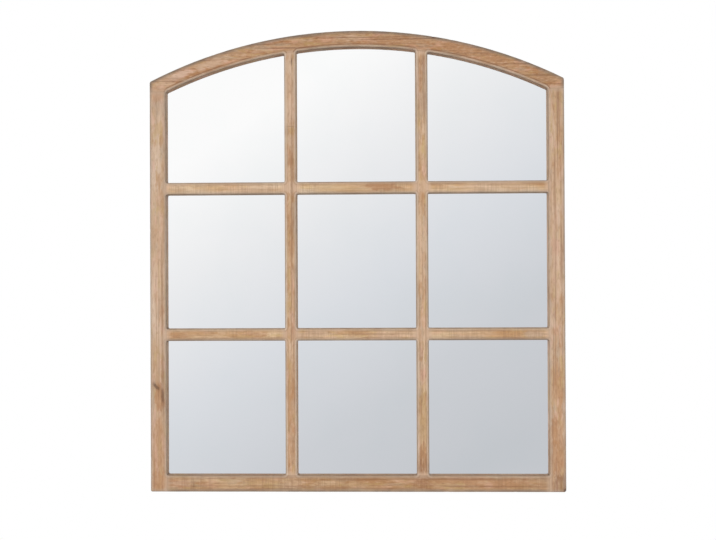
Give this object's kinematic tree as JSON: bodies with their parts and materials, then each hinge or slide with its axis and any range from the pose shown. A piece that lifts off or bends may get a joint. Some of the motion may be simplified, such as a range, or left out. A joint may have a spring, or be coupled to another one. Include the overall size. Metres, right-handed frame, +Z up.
{
  "type": "arched window-pane wall mirror",
  "caption": "Arched wall mirror made like a window sash: weathered softwood stiles, rails and glazing bars round separate mirror panes, with a backing board and swinging hanging rings.",
  "frame": {"origin": "the middle of the frame's underside, halfway between its front and back faces", "axes": "+X to the right seen from the front, +Y towards the wall, +Z up"},
  "size_m": [0.9, 0.0275, 0.9999],
  "materials": {
    "weathered_fir": "matt, brushed and lightly weathered",
    "dowel_beech": "plain",
    "mirror_glass": "silvered float glass",
    "fibreboard": "thin fibreboard, smooth face out",
    "screw_steel": "zinc-plated",
    "hanger_steel": "zinc-plated",
    "bumper_rubber": "matt"
  },
  "bodies": {
    "frame": {"left_stile": "weathered_fir", "right_stile": "weathered_fir", "bottom_rail": "weathered_fir", "arch_rail": "weathered_fir", "left_glazing_bar": "weathered_fir", "right_glazing_bar": "weathered_fir", "lower_glazing_bar": "weathered_fir", "upper_glazing_bar": "weathered_fir", "corner_dowels": "dowel_beech", "bar_dowels": "dowel_beech", "pane_bottom_left": "mirror_glass", "pane_bottom_centre": "mirror_glass", "pane_bottom_right": "mirror_glass", "pane_middle_left": "mirror_glass", "pane_middle_centre": "mirror_glass", "pane_middle_right": "mirror_glass", "pane_top_left": "mirror_glass", "pane_top_centre": "mirror_glass", "pane_top_right": "mirror_glass", "backing_board": "fibreboard", "board_screws": "screw_steel", "hanger_screws": "screw_steel", "left_hanger_strap": "hanger_steel", "right_hanger_strap": "hanger_steel", "left_wall_bumper": "bumper_rubber", "right_wall_bumper": "bumper_rubber"},
    "left_ring": {"left_hanger_ring": "hanger_steel"},
    "right_ring": {"right_hanger_ring": "hanger_steel"}
  },
  "joints": [
    {"name": "left_ring_swing", "type": "hinge", "parent": "frame", "child": "left_ring", "pos_m": [-0.44, 0.01375, 0.78], "axis": [1, 0, 0], "range_deg": [0, 180]},
    {"name": "right_ring_swing", "type": "hinge", "parent": "frame", "child": "right_ring", "pos_m": [0.44, 0.01375, 0.78], "axis": [1, 0, 0], "range_deg": [0, 180]}
  ]
}
